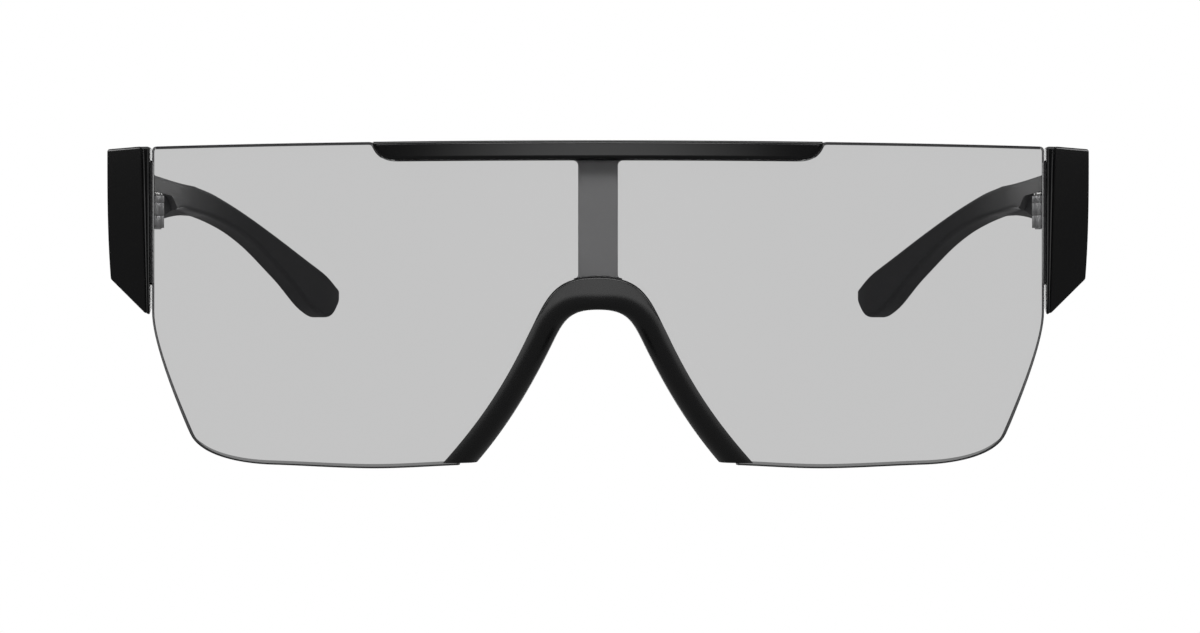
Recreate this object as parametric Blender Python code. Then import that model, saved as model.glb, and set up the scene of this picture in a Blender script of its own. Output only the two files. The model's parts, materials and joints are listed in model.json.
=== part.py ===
"""Rimless shield sunglasses with a rectangular one-piece lens.

+X is the right-hand side as seen from the front, +Y runs back to the temple tips and +Z is
up. The origin is in the middle of the width and of the depth, level with the lens's lowest
edge. Depths in the sizes below are measured back from the front of the lens at its middle.
"""

import math

import bmesh
import bpy
from mathutils import Matrix, Vector

MM = 0.001

# Fits
seat_gap = 0.3 * MM
peg_gap = 0.1 * MM
running_gap = 0.06 * MM
knuckle_gap = 0.1 * MM
overrun = 2.0 * MM
plane_tolerance = 0.001 * MM

# Overall
overall_depth = 161.0 * MM

# Lens
lens_half_width = 68.5 * MM
lens_height = 49.0 * MM
lens_radius = 137.0 * MM
lens_thickness = 2.0 * MM
lens_top_corner = 0.8 * MM
lens_side_foot_drop = 4.5 * MM
lens_side_bulge = 7.5 * MM
lens_corner_width = 6.6 * MM
lens_corner_z = 3.9 * MM
lens_corner_reach = 2.4 * MM
lens_corner_end_width = 13.0 * MM
lens_corner_end_z = 1.0 * MM
lens_lowest_x = 33.0 * MM
lens_foot_x = 21.0 * MM
lens_foot_z = 0.9 * MM
lens_slice = 5.5 * MM
tab_length = 2.4 * MM
tab_top_drop = 2.4 * MM
tab_height = 18.6 * MM

# Brow bar
bar_half_length = 33.2 * MM
bar_height = 2.9 * MM
bar_corner = 2.7 * MM
bar_proud = 0.8 * MM
bar_depth = 5.2 * MM
bar_bevel = 0.45 * MM
bar_end_flare = 0.6 * MM

# Centre strut
strut_half_width = 2.9 * MM
strut_thickness = 1.7 * MM
strut_flare = 0.8 * MM
strut_bevel = 0.2 * MM

# Nose bridge
bridge_crown_z = 28.8 * MM
bridge_shoulder_x = 10.8 * MM
bridge_shoulder_z = 19.2 * MM
bridge_foot_x = 22.5 * MM
bridge_foot_z = 0.95 * MM
arch_crown_z = 23.8 * MM
arch_shoulder_x = 7.2 * MM
arch_shoulder_z = 18.2 * MM
arch_foot_x = 18.1 * MM
bridge_leg_lean = 26.6
bridge_foot_lean = 38.0
bridge_crown_handle = 6.8 * MM
bridge_shoulder_handle = 5.2 * MM
bridge_leg_handle = 6.5 * MM
arch_crown_handle = 4.6 * MM
arch_shoulder_handle = 2.6 * MM
bridge_proud = 1.0 * MM
bridge_depth = 6.2 * MM
bridge_bevel = 0.4 * MM
bridge_roll = 1.3 * MM
groove_depth = 1.3 * MM

# Nose pads
pad_width = 3.3 * MM
pad_reach = 7.0 * MM
pad_round = 1.6 * MM
pad_splay = 0.9 * MM
pad_peg_radius = 0.7 * MM
pad_peg_length = 1.8 * MM
pad_peg_root = 0.3 * MM

# End blocks
block_gap = 0.4 * MM
block_width = 7.8 * MM
block_top_drop = 0.1 * MM
block_height = 25.2 * MM
block_length = 9.6 * MM
block_corner_setback = 1.0 * MM
block_ledge_width = 1.1 * MM
block_ledge_cover = 0.7 * MM
block_ledge_step = 0.8 * MM
block_inner_lean = 1.0 * MM
block_toe_slope_back = 16.0
block_toe_slope_out = 21.0
side_lean = 1.2 * MM
block_bevel = 0.35 * MM

# Hinges
hinge_axis_step = 0.25 * MM
hinge_axis_setback = 1.0 * MM
hinge_middle_drop = 9.8 * MM
knuckle_radius = 1.2 * MM
knuckle_heights = (1.9 * MM, 1.9 * MM, 1.0 * MM)
leaf_thickness = 0.8 * MM
front_leaf_length = 4.2 * MM
rear_leaf_length = 10.0 * MM
swing_gap = 0.15 * MM
pin_radius = 0.5 * MM
pin_head_radius = 0.95 * MM
pin_head_height = 0.55 * MM
screw_radius = 0.4 * MM
screw_head_radius = 0.75 * MM
screw_head_height = 0.35 * MM
screw_length = 2.6 * MM
front_screw_place = 2.9 * MM
rear_screw_places = (4.0 * MM, 7.8 * MM)

# Temples
temple_inner_step = 0.7 * MM
temple_sweep = 20.4 * MM
temple_drop = 22.4 * MM
temple_waist_drop = 8.7 * MM
temple_tail_drop = 18.0 * MM
temple_shoulder_drop = 3.8 * MM
temple_shoulder_height = 6.6 * MM
temple_shoulder_rise = 2.3 * MM
temple_corner = 1.3 * MM
temple_tip_round = 10.5 * MM
temple_tip_edge = 3.0 * MM
recess_length = 17.0 * MM
recess_run = 20.0 * MM

# Shares of curves: a handle that draws a quarter circle, the middle facet of a rounded edge,
# and the most of a side that one rounded corner may take.
quarter_share = 0.552
facet_share = 0.3
corner_limit_share = 0.48

# Shares of the way from the nose bridge's crown to its foot, and of the pad's outline
pad_top_share = 0.62
pad_bottom_share = 0.93
pad_step_share = 0.01
pad_end_share = 0.9
pad_edge_inset_share = 0.12
pad_face_inset_share = 0.4

# Shares of a screw head's height and radius
head_edge_share = 0.6
head_top_share = 0.7

# Shares of the temple's length, with the share reached there of the size that each table names
sweep_shares = (
    (0, 0), (0.24, 0), (0.355, 0.028), (0.506, 0.12), (0.636, 0.267),
    (0.757, 0.47), (0.863, 0.7), (0.94, 0.875), (1, 0.96))
thickness_shares = (
    (0, 1), (0.127, 0.97), (0.24, 0.79), (0.355, 0.63), (0.506, 0.52), (0.757, 0.48), (1, 0.45))
drop_shares = (
    (0, 0), (0.09, 0.02), (0.2, 0.1), (0.3, 0.157), (0.39, 0.182), (0.506, 0.228),
    (0.636, 0.335), (0.757, 0.495), (0.863, 0.683), (0.94, 0.825), (1, 0.92))
rise_shares = ((0, 0), (0.127, 0.52), (0.24, 0.8), (0.332, 0.935), (0.423, 1), (1, 1))
tail_shares = (
    (0, 0), (0.423, 0), (0.47, 0.008), (0.567, 0.083), (0.645, 0.172), (0.72, 0.325),
    (0.81, 0.612), (0.894, 0.932), (0.95, 1), (1, 0.84))
shoulder_end_share = 0.47
shoulder_shares = (
    (0, 0), (0.127, 0.2), (0.25, 0.9), (0.3, 1), (0.38, 0.89), (shoulder_end_share, 0.75), (1, 0))

# Shares of the temple's own section, and of its length for the fading lean and the rounded tip
temple_web_share = 0.64
temple_step_share = 0.08
temple_inner_corner_share = 0.7
lean_middle_share = 0.45
lean_end_share = 0.35
tip_end_share = 0.003

# Worked out from the sizes above
front_y = -overall_depth / 2 + bridge_proud
lens_side_depth = lens_radius - math.sqrt(lens_radius ** 2 - lens_half_width ** 2)
tab_top_z = lens_height - tab_top_drop
tab_bottom_z = tab_top_z - tab_height
lens_side_foot_z = tab_bottom_z - lens_side_foot_drop
lens_corner_x = lens_half_width - lens_corner_width
lens_corner_end_x = lens_half_width - lens_corner_end_width
block_inner_x = lens_half_width + block_gap
half_width = block_inner_x + block_width
block_top_z = lens_height - block_top_drop
block_toe_z = block_top_z - block_height
block_split_depth = lens_side_depth + block_length
hinge_axis_x = block_inner_x + hinge_axis_step
hinge_axis_depth = block_split_depth - hinge_axis_setback
hinge_middle_z = block_top_z - hinge_middle_drop
temple_inner_x = block_inner_x + temple_inner_step
temple_waist_z = block_top_z - temple_waist_drop
temple_shoulder_top_z = block_top_z - temple_shoulder_drop
temple_shoulder_toe_z = temple_shoulder_top_z - temple_shoulder_height
split_depth = block_split_depth + seat_gap
temple_length = overall_depth - bridge_proud - split_depth
hinge_height = sum(knuckle_heights) + 2 * knuckle_gap
hinge_bottom_z = hinge_middle_z - hinge_height / 2
hinge_top_z = hinge_bottom_z + hinge_height
leaf_outer_x = hinge_axis_x + knuckle_radius
leaf_inner_x = leaf_outer_x - leaf_thickness
pocket_x = leaf_outer_x + seat_gap
temple_thickness = half_width - temple_inner_x
bar_bottom_z = lens_height - bar_height


# Shapes in two dimensions

def bezier(start, start_handle, end_handle, end, steps):
    """Points along a cubic curve, leaving out its start."""
    points = []
    for step in range(1, steps + 1):
        t = step / steps
        weights = ((1 - t) ** 3, 3 * t * (1 - t) ** 2, 3 * t * t * (1 - t), t ** 3)
        pulls = [weight * point for weight, point in zip(weights, (start, start_handle, end_handle, end))]
        points.append(sum(pulls, Vector((0, 0))))
    return points


def heading(degrees):
    """The direction that leans out by so many degrees from straight down."""
    return Vector((math.sin(math.radians(degrees)), -math.cos(math.radians(degrees))))


def soften(corners, cuts, steps):
    """An outline whose corners are rounded from a cut's length before each to a cut's length after."""
    outline = []
    for index, (corner, cut_length) in enumerate(zip(corners, cuts)):
        if not cut_length:
            outline.append(corner)
            continue
        before = corners[index - 1] - corner
        after = corners[(index + 1) % len(corners)] - corner
        length = min(cut_length, before.length * corner_limit_share, after.length * corner_limit_share)
        first = corner + before.normalized() * length
        last = corner + after.normalized() * length
        for step in range(steps + 1):
            t = step / steps
            outline.append(first * (1 - t) ** 2 + corner * 2 * t * (1 - t) + last * t * t)
    return outline


def along(shares, place):
    """The value at a place in a table, on a smooth curve through the table's points."""
    for index in range(len(shares) - 1):
        if place <= shares[index + 1][0]:
            break
    (x0, y0), (x1, y1) = shares[index], shares[index + 1]
    before = shares[index - 1] if index else shares[0]
    after = shares[min(index + 2, len(shares) - 1)]
    slope0 = (y1 - before[1]) / (x1 - before[0])
    slope1 = (after[1] - y0) / (after[0] - x0)
    t = (place - x0) / (x1 - x0)
    rise = (y1 - y0) * t * t * (3 - 2 * t)
    return y0 + rise + (x1 - x0) * t * (1 - t) * ((1 - t) * slope0 - t * slope1)


def half_arch(crown, crown_handle, shoulder, shoulder_handle, leg_handle, foot, steps):
    """One side of an arch: a round crown, then a leg that flares out towards its foot."""
    crown_end = crown + Vector((crown_handle, 0))
    shoulder_start = shoulder - heading(bridge_leg_lean) * shoulder_handle
    points = [crown] + bezier(crown, crown_end, shoulder_start, shoulder, steps)
    leg_start = shoulder + heading(bridge_leg_lean) * leg_handle
    leg_end = foot - heading(bridge_foot_lean) * leg_handle
    return points + bezier(shoulder, leg_start, leg_end, foot, steps)


def bridge_edge(steps):
    """The upper, outer edge of the nose bridge on the right-hand side."""
    return half_arch(Vector((0, bridge_crown_z)), bridge_crown_handle,
                     Vector((bridge_shoulder_x, bridge_shoulder_z)), bridge_shoulder_handle,
                     bridge_leg_handle, Vector((bridge_foot_x, bridge_foot_z)), steps)


def arch_edge(steps):
    """The lower, inner edge of the nose bridge, which the nose meets."""
    return half_arch(Vector((0, arch_crown_z)), arch_crown_handle,
                     Vector((arch_shoulder_x, arch_shoulder_z)), arch_shoulder_handle,
                     bridge_leg_handle, Vector((arch_foot_x, bridge_foot_z)), steps)


def mirrored(half):
    """A whole outline from its right-hand half, which starts and ends on the middle line."""
    left = [Vector((-point.x, point.y)) for point in reversed(half) if point.x > 0]
    return half + left


def bar_end(gap):
    """The rounded end of the brow bar, or at a gap from it the lens's notch, from the middle outwards."""
    corner = bar_corner + gap
    foot = Vector((bar_half_length - bar_corner, bar_bottom_z - gap))
    turn = foot + Vector((corner, corner))
    handle = corner * quarter_share
    return [Vector((0, foot.y)), foot] + \
        bezier(foot, foot + Vector((handle, 0)), turn - Vector((0, handle)), turn, 6)


def lens_outline():
    """The lens's outline as seen from the front, with its two side tabs."""
    half = bar_end(seat_gap)
    half.append(Vector((bar_half_length + seat_gap + bar_end_flare, lens_height)))
    corner = Vector((lens_half_width, lens_height))
    corner_points = soften([corner - Vector((lens_half_width, 0)), corner, Vector((lens_half_width, 0))],
                           (0, lens_top_corner, 0), 3)
    half += corner_points[1:-1]
    tab_x = lens_half_width + tab_length
    half += [Vector((lens_half_width, tab_top_z)), Vector((tab_x, tab_top_z))]
    half += [Vector((tab_x, tab_bottom_z)), Vector((lens_half_width, tab_bottom_z))]
    side = Vector((lens_half_width, lens_side_foot_z))
    turn = Vector((lens_corner_x, lens_corner_z))
    turn_lean = (turn - Vector((lens_half_width, lens_side_foot_z - lens_side_bulge))).normalized()
    half.append(side)
    half += bezier(side, side - Vector((0, lens_side_bulge)), turn - turn_lean * lens_side_bulge / 2, turn, 9)
    end = Vector((lens_corner_end_x, lens_corner_end_z))
    end_lean = Vector((lens_corner_x - lens_lowest_x, lens_corner_end_z)).normalized()
    half += bezier(turn, turn + turn_lean * lens_corner_reach, end + end_lean * lens_corner_reach, end, 5)
    lowest = Vector((lens_lowest_x, 0))
    reach = (lens_corner_end_x - lens_lowest_x) / 3
    half += bezier(end, end - end_lean * reach, lowest + Vector((reach, 0)), lowest, 5)
    foot = Vector((lens_foot_x, lens_foot_z))
    reach = (lens_lowest_x - lens_foot_x) / 3
    half += bezier(lowest, lowest - Vector((reach, 0)), foot + Vector((reach, -lens_foot_z / 3)), foot, 3)
    nose = inset_edge(bridge_edge(9), arch_edge(9), groove_depth)
    half += [point for point in reversed(nose) if point.y > lens_foot_z + groove_depth]
    return mirrored(half)


def inset_edge(edge, other, distance):
    """An edge moved towards the other edge of its band."""
    return [point + (far - point).normalized() * distance for point, far in zip(edge, other)]


# Shapes in three dimensions

def wrap(x, z, offset):
    """The point so far behind the lens's front surface, along its radius."""
    radius = lens_radius - offset
    angle = math.asin(x / lens_radius)
    return Vector((radius * math.sin(angle), front_y + lens_radius - radius * math.cos(angle), z))


def plate(outline, front, back, slice_width):
    """A flat outline given a thickness and bent round the lens's cylinder."""
    bm = bmesh.new()
    bm.faces.new([bm.verts.new((point.x, 0, point.y)) for point in outline])
    reach = max(abs(point.x) for point in outline)
    count = int(reach / slice_width)
    for index in range(-count, count + 1):
        bmesh.ops.bisect_plane(bm, geom=bm.verts[:] + bm.edges[:] + bm.faces[:], dist=plane_tolerance,
                               plane_co=(index * slice_width, 0, 0), plane_no=(1, 0, 0))
    front_verts = bm.verts[:]
    grown = bmesh.ops.extrude_face_region(bm, geom=bm.faces[:], use_keep_orig=True)
    back_verts = [item for item in grown["geom"] if isinstance(item, bmesh.types.BMVert)]
    for verts, offset in ((front_verts, front), (back_verts, back)):
        for vert in verts:
            vert.co = wrap(vert.co.x, vert.co.z, offset)
    return bm


def loft(rings):
    """A closed solid through rings of points, all with the same count."""
    bm = bmesh.new()
    rows = [[bm.verts.new(point) for point in ring] for ring in rings]
    count = len(rings[0])
    for row, after in zip(rows, rows[1:]):
        for index in range(count):
            turn = (index + 1) % count
            bm.faces.new((row[index], row[turn], after[turn], after[index]))
    bm.faces.new(rows[0])
    bm.faces.new(rows[-1])
    return bm


def prism(outline, bottom_z, top_z):
    """A plan outline of x and depth, raised from one height to another."""
    rings = [[Vector((point.x, front_y + point.y, z)) for point in outline] for z in (bottom_z, top_z)]
    return loft(rings)


def box(x_range, depth_range, z_range):
    corners = [Vector((x, depth)) for x, depth in zip(
        (x_range[0], x_range[1], x_range[1], x_range[0]),
        (depth_range[0], depth_range[0], depth_range[1], depth_range[1]))]
    return prism(corners, *z_range)


def turned(profile, centre, direction, sides):
    """A solid turned about a line: the profile holds distances along it and radii."""
    across = direction.orthogonal().normalized()
    rings = []
    for distance, radius in profile:
        middle = centre + direction * distance
        arms = (Matrix.Rotation(math.tau * side / sides, 3, direction) @ across for side in range(sides))
        rings.append([middle + arm * radius for arm in arms])
    return loft(rings)


def add(name, bm, material, side=1, smooth_angle=35.0):
    """Adds a solid to the scene, mirrored to the left-hand side where side is -1."""
    if side < 0:
        bm.transform(Matrix.Scale(-1, 4, (1, 0, 0)))
    bm.normal_update()
    bmesh.ops.recalc_face_normals(bm, faces=bm.faces[:])
    mesh = bpy.data.meshes.new(name)
    bm.to_mesh(mesh)
    bm.free()
    mesh.shade_smooth()
    mesh.set_sharp_from_angle(angle=math.radians(smooth_angle))
    piece = bpy.data.objects.new(name, mesh)
    bpy.context.scene.collection.objects.link(piece)
    if material:
        mesh.materials.append(material)
    return piece


def bevel(piece, width, segments=2, sharpest=40.0):
    modifier = piece.modifiers.new("edges", "BEVEL")
    modifier.width = width
    modifier.segments = segments
    modifier.limit_method = "ANGLE"
    modifier.angle_limit = math.radians(sharpest)


def cut(piece, name, bm, side=1):
    """Cuts a hidden shape out of a piece."""
    cutter = add(name, bm, None, side)
    cutter.hide_render = True
    cutter.display_type = "WIRE"
    modifier = piece.modifiers.new(name, "BOOLEAN")
    modifier.operation = "DIFFERENCE"
    modifier.solver = "EXACT"
    modifier.object = cutter


def hang(piece, pivot):
    """Puts a moving piece under its pivot, with its own origin on the pivot's axis."""
    piece.data.transform(Matrix.Translation(-pivot.location))
    piece.parent = pivot


def finish(name, colour, roughness, metallic=0.0, alpha=1.0):
    material = bpy.data.materials.new(name)
    material.use_nodes = True
    shader = material.node_tree.nodes["Principled BSDF"]
    shader.inputs["Base Color"].default_value = (*colour, 1)
    shader.inputs["Roughness"].default_value = roughness
    shader.inputs["Metallic"].default_value = metallic
    shader.inputs["Alpha"].default_value = alpha
    return material


# The front

def make_lens():
    bm = plate(lens_outline(), 0, lens_thickness, lens_slice)
    add("shield_lens", bm, finish("smoke_lens", (0.03, 0.03, 0.032), 0.05, alpha=0.45))


def make_brow_bar():
    """The bar fills the notch in the lens's top edge."""
    half = bar_end(0)
    half += [Vector((bar_half_length, lens_height)), Vector((0, lens_height))]
    bm = plate(mirrored(half), -bar_proud, bar_depth - bar_proud, lens_slice)
    bar = add("brow_bar", bm, finish("gloss_black_bar", (0.012, 0.012, 0.012), 0.25))
    bevel(bar, bar_bevel)


def make_strut():
    """The strut ties the brow bar to the nose bridge, close behind the lens."""
    top_z = bar_bottom_z - seat_gap
    wide = strut_half_width + strut_flare
    crown = [point for point in bridge_edge(12) if point.x < wide]
    end_z = crown[-1].y + seat_gap
    half = [Vector((point.x, point.y + seat_gap)) for point in crown]
    foot = Vector((wide, end_z))
    half.append(foot)
    across = Vector((strut_flare / 2, 0))
    up = Vector((0, strut_flare / 2))
    low_turn = Vector((strut_half_width, end_z + strut_flare))
    half += bezier(foot, foot - across, low_turn - up, low_turn, 4)
    high_turn = Vector((strut_half_width, top_z - strut_flare))
    head = Vector((wide, top_z))
    half.append(high_turn)
    half += bezier(high_turn, high_turn + up, head - across, head, 4)
    half.append(Vector((0, top_z)))
    front = lens_thickness + seat_gap
    bm = plate(mirrored(half), front, front + strut_thickness, strut_half_width)
    strut = add("centre_strut", bm, finish("grey_strut", (0.2, 0.2, 0.2), 0.4))
    bevel(strut, strut_bevel)


def bridge_section(width):
    """Distances in from the outer edge, with depths behind the lens's front. The groove holds the lens."""
    back = bridge_depth - bridge_proud
    front_wall = -seat_gap
    rear_wall = lens_thickness + seat_gap
    floor = groove_depth + seat_gap
    facet = bridge_roll * facet_share
    return (
        (bridge_bevel, -bridge_proud), (0, bridge_bevel - bridge_proud), (0, front_wall), (floor, front_wall),
        (floor, rear_wall), (0, rear_wall), (0, back - bridge_bevel), (bridge_bevel, back),
        (width - bridge_roll, back), (width - facet, back - facet),
        (width, back - bridge_roll), (width, bridge_roll - bridge_proud),
        (width - facet, facet - bridge_proud), (width - bridge_roll, -bridge_proud),
    )


def make_nose_bridge(steps=12):
    outer = bridge_edge(steps)
    inner = arch_edge(steps)
    pairs = [(Vector((-o.x, o.y)), Vector((-i.x, i.y))) for o, i in zip(outer[:0:-1], inner[:0:-1])]
    pairs += list(zip(outer, inner))
    rings = []
    for edge, arch in pairs:
        across = (arch - edge).normalized()
        section = bridge_section((arch - edge).length)
        flat = [(edge + across * distance, offset) for distance, offset in section]
        rings.append([wrap(point.x, point.y, offset) for point, offset in flat])
    black = finish("satin_black_bridge", (0.012, 0.012, 0.012), 0.35)
    bridge = add("nose_bridge", loft(rings), black, smooth_angle=30)
    bore = pad_peg_radius + peg_gap
    for side, label in ((-1, "left"), (1, "right")):
        socket = ((-overrun, bore), (pad_peg_length + seat_gap, bore))
        cut(bridge, "pad_socket_" + label, turned(socket, pad_peg_place(), Vector((0, -1, 0)), 14), side)


def pad_line(place, steps=40):
    """A point on the middle of the right-hand leg, at a share of the way from crown to foot."""
    outer = bridge_edge(steps)
    inner = arch_edge(steps)
    distance = place * (len(outer) - 1)
    index = min(int(distance), len(outer) - 2)
    near = (outer[index] + inner[index]) / 2
    far = (outer[index + 1] + inner[index + 1]) / 2
    return near.lerp(far, distance - index)


def pad_peg_place():
    """Where the pad's peg leaves the back of the bridge."""
    middle = pad_line((pad_top_share + pad_bottom_share) / 2)
    return wrap(middle.x, middle.y, bridge_depth - bridge_proud)


def pad_profile():
    """Distances behind the bridge, with the share by which the pad has drawn in there."""
    edge = pad_reach - pad_round * facet_share
    straight = pad_reach - pad_round
    return ((0, 0), (straight, 0), (edge, pad_edge_inset_share), (pad_reach, pad_face_inset_share))


def make_nose_pad(side, label, steps=10):
    """A soft pad behind the leg, with a peg that plugs into it."""
    rows = []
    for step in range(steps + 1):
        share = step / steps
        place = pad_top_share + (pad_bottom_share - pad_top_share) * share
        ahead = pad_line(place + pad_step_share) - pad_line(place - pad_step_share)
        normal = Vector((-ahead.y, ahead.x)).normalized()
        half = pad_width / 2 * math.sqrt(1 - (2 * share - 1) ** 4 * pad_end_share)
        rows.append((pad_line(place), normal * half))
    outline = [middle + arm for middle, arm in rows] + [middle - arm for middle, arm in reversed(rows)]
    centre = sum(outline, Vector((0, 0))) / len(outline)
    out = (rows[0][1] + rows[-1][1]).normalized()
    out *= 1 if out.x > 0 else -1
    start = bridge_depth - bridge_proud + seat_gap
    seat = [wrap(point.x, point.y, start) for point in outline]
    rings = []
    for reach, inset in pad_profile():
        moved = [point.lerp(centre, inset) + out * pad_splay * reach / pad_reach for point in outline]
        rings.append([Vector((point.x, base.y + reach, point.y)) for point, base in zip(moved, seat)])
    rubber = finish("soft_black_pad_" + label, (0.02, 0.02, 0.02), 0.7)
    pad = add("nose_pad_" + label, loft(rings), rubber, side)
    peg_profile = ((-seat_gap - pad_peg_root, pad_peg_radius), (pad_peg_length, pad_peg_radius))
    peg = turned(peg_profile, pad_peg_place(), Vector((0, -1, 0)), 14)
    joined = add("pad_peg_" + label, peg, None, side)
    joined.hide_render = True
    joined.display_type = "WIRE"
    modifier = pad.modifiers.new("peg", "BOOLEAN")
    modifier.operation = "UNION"
    modifier.solver = "EXACT"
    modifier.object = joined


# The end blocks and hinges

def slant_z(x, depth):
    """The height of the slanted lower face that runs from the block on to the temple."""
    back = math.tan(math.radians(block_toe_slope_back)) * (depth - lens_side_depth)
    return block_toe_z + back + math.tan(math.radians(block_toe_slope_out)) * (x - block_inner_x)


def lean(z):
    """How far the outer side draws in towards its lower edge."""
    return side_lean * max(0, (block_top_z - z) / (block_top_z - block_toe_z)) ** 3


def make_end_block(side, label, levels=6):
    ledge_depth = lens_side_depth - block_ledge_cover
    slot_back_depth = lens_side_depth + lens_thickness + seat_gap
    corner_depth = block_split_depth - block_corner_setback
    back_x = block_inner_x + block_inner_lean
    face_x = block_inner_x + block_ledge_width
    rings = []
    for level in range(levels + 1):
        z = block_top_z * (1 - level / levels)
        outer_x = half_width - lean(z)
        plan = ((block_inner_x, ledge_depth), (face_x, ledge_depth), (face_x, ledge_depth - block_ledge_step),
                (outer_x, corner_depth), (outer_x, block_split_depth),
                (back_x, block_split_depth), (block_inner_x, slot_back_depth))
        rings.append([Vector((x, front_y + depth, z)) for x, depth in plan])
    bm = loft(rings)
    slope_out = math.tan(math.radians(block_toe_slope_out))
    slope_back = math.tan(math.radians(block_toe_slope_back))
    bmesh.ops.bisect_plane(bm, geom=bm.verts[:] + bm.edges[:] + bm.faces[:], dist=plane_tolerance,
                           plane_co=(block_inner_x, front_y + lens_side_depth, block_toe_z),
                           plane_no=(slope_out, slope_back, -1), clear_outer=True)
    bmesh.ops.holes_fill(bm, edges=[edge for edge in bm.edges if edge.is_boundary])
    black = finish("gloss_black_block_" + label, (0.01, 0.01, 0.01), 0.2)
    block = add("end_block_" + label, bm, black, side)
    bevel(block, block_bevel)
    slot_mouth_x = block_inner_x - overrun
    slot_floor_x = lens_half_width + tab_length + seat_gap
    slot_bottom_z = tab_bottom_z - seat_gap
    slot_top_z = tab_top_z + seat_gap
    tab = [Vector((slot_mouth_x, slot_bottom_z)), Vector((slot_floor_x, slot_bottom_z)),
           Vector((slot_floor_x, slot_top_z)), Vector((slot_mouth_x, slot_top_z))]
    cut(block, "tab_slot_" + label, plate(tab, -seat_gap, lens_thickness + seat_gap, lens_slice), side)
    pocket = box((block_inner_x - overrun, pocket_x),
                 (hinge_axis_depth - front_leaf_length - seat_gap, block_split_depth + overrun),
                 (hinge_bottom_z - seat_gap, hinge_top_z + pin_head_height + seat_gap))
    cut(block, "hinge_pocket_" + label, pocket, side)
    cut(block, "front_screw_hole_" + label, screw_hole(hinge_axis_depth - front_screw_place), side)


def screw_hole(depth):
    """A blind hole for a leaf's screw, from the pocket's wall outwards."""
    length = screw_length - leaf_thickness + seat_gap
    radius = screw_radius + running_gap
    centre = Vector((pocket_x, front_y + depth, hinge_middle_z))
    return turned(((-overrun, radius), (length, radius)), centre, Vector((1, 0, 0)), 12)


def leaf_outline(length, way, steps=20):
    """A hinge leaf in plan: a plate rolled into a barrel. The plate runs back or forward, way 1 or -1."""
    middle = Vector((hinge_axis_x, hinge_axis_depth))
    inner_side = knuckle_radius - leaf_thickness
    start = math.pi / 2
    end = math.tau + math.asin(inner_side / knuckle_radius)
    outline = [Vector((length, knuckle_radius))]
    for step in range(steps + 1):
        angle = start + (end - start) * step / steps
        outline.append(Vector((math.cos(angle), math.sin(angle))) * knuckle_radius)
    outline.append(Vector((length, inner_side)))
    return [middle + Vector((point.y, point.x * way)) for point in outline]


def knuckle_space(index):
    """The round space that clears another leaf's knuckle, counted from the bottom."""
    bottom = hinge_bottom_z + sum(knuckle_heights[:index]) + knuckle_gap * (index - 1)
    top = bottom + knuckle_heights[index] + knuckle_gap * 2
    if index == 0:
        bottom -= overrun
    if index == len(knuckle_heights) - 1:
        top += overrun
    centre = Vector((hinge_axis_x, front_y + hinge_axis_depth, bottom))
    reach = knuckle_radius + swing_gap
    return turned(((0, reach), (top - bottom, reach)), centre, Vector((0, 0, 1)), 24)


def pin_bore():
    centre = Vector((hinge_axis_x, front_y + hinge_axis_depth, hinge_bottom_z))
    radius = pin_radius + running_gap
    return turned(((-overrun, radius), (hinge_height + overrun, radius)), centre, Vector((0, 0, 1)), 16)


def leaf_screw_hole(depth):
    centre = Vector((leaf_inner_x, front_y + depth, hinge_middle_z))
    radius = screw_radius + running_gap
    return turned(((-overrun, radius), (leaf_thickness + overrun, radius)), centre, Vector((1, 0, 0)), 12)


def make_leaf(name, length, way, cleared, screw_places, side, label):
    bm = prism(leaf_outline(length, way), hinge_bottom_z, hinge_top_z)
    metal = finish("metal_" + name + "_" + label, (0.45, 0.45, 0.46), 0.3, 1.0)
    leaf = add(name + "_" + label, bm, metal, side)
    for index in cleared:
        cut(leaf, name + "_space_" + str(index) + "_" + label, knuckle_space(index), side)
    cut(leaf, name + "_bore_" + label, pin_bore(), side)
    for index, place in enumerate(screw_places):
        hole = leaf_screw_hole(hinge_axis_depth + place * way)
        cut(leaf, name + "_hole_" + str(index) + "_" + label, hole, side)
    return leaf


def make_hinge_pin(side, label):
    """The screw that the hinge turns on, with its head on the upper knuckle."""
    centre = Vector((hinge_axis_x, front_y + hinge_axis_depth, hinge_top_z))
    under = knuckle_gap
    edge = under + pin_head_height * head_edge_share
    top = under + pin_head_height
    profile = ((-hinge_height, pin_radius), (under, pin_radius), (under, pin_head_radius),
               (edge, pin_head_radius), (top, pin_head_radius * head_top_share))
    steel = finish("pin_steel_" + label, (0.6, 0.6, 0.6), 0.2, 1.0)
    add("hinge_screw_" + label, turned(profile, centre, Vector((0, 0, 1)), 16), steel, side)


def make_leaf_screw(name, depth, side):
    """A small screw through a hinge leaf into the plastic behind it."""
    centre = Vector((leaf_inner_x - knuckle_gap / 2, front_y + depth, hinge_middle_z))
    edge = -screw_head_height * head_edge_share
    profile = ((-screw_head_height, screw_head_radius * head_top_share), (edge, screw_head_radius),
               (0, screw_head_radius), (0, screw_radius), (screw_length, screw_radius))
    steel = finish("steel_" + name, (0.55, 0.55, 0.55), 0.25, 1.0)
    return add(name, turned(profile, centre, Vector((1, 0, 0)), 12), steel, side)


# The temples

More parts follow.
